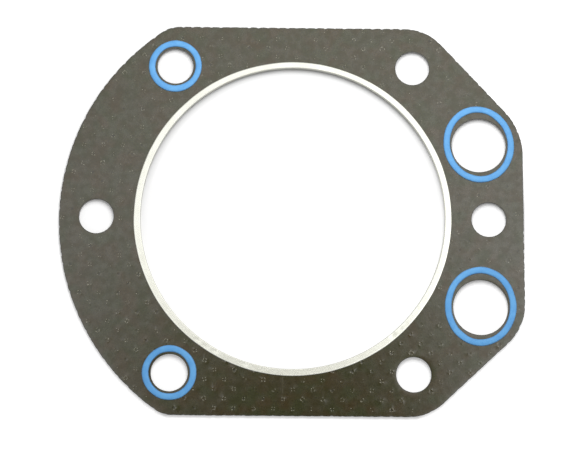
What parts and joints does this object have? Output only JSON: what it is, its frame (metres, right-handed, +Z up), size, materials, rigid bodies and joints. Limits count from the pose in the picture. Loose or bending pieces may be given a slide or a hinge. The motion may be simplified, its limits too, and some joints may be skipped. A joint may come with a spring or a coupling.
{
  "type": "cylinder head gasket",
  "caption": "Flat layered gasket that seals a round cylinder bore, with a folded steel fire ring, stud and tube holes, and raised rubber beads.",
  "frame": {"origin": "on the cylinder bore's axis, halfway through the sheet's thickness", "axes": "+Z up through the sheet, out of the face that meets the cylinder head; +X along the row of the two side studs, towards the pushrod tube holes"},
  "size_m": [0.1481, 0.1253, 0.002],
  "materials": {
    "gasket_sheet": "satin, olive grey, faintly mottled",
    "ring_steel": "bright rolled",
    "bead_silicone": "satin, azure blue"
  },
  "bodies": {
    "root": {"gasket_sheet": "gasket_sheet", "fire_ring": "ring_steel", "head_bead_upper_stud": "bead_silicone", "head_bead_lower_stud": "bead_silicone", "head_bead_upper_tube": "bead_silicone", "head_bead_lower_tube": "bead_silicone", "barrel_bead_upper_stud": "bead_silicone", "barrel_bead_lower_stud": "bead_silicone", "barrel_bead_upper_tube": "bead_silicone", "barrel_bead_lower_tube": "bead_silicone"}
  },
  "joints": []
}
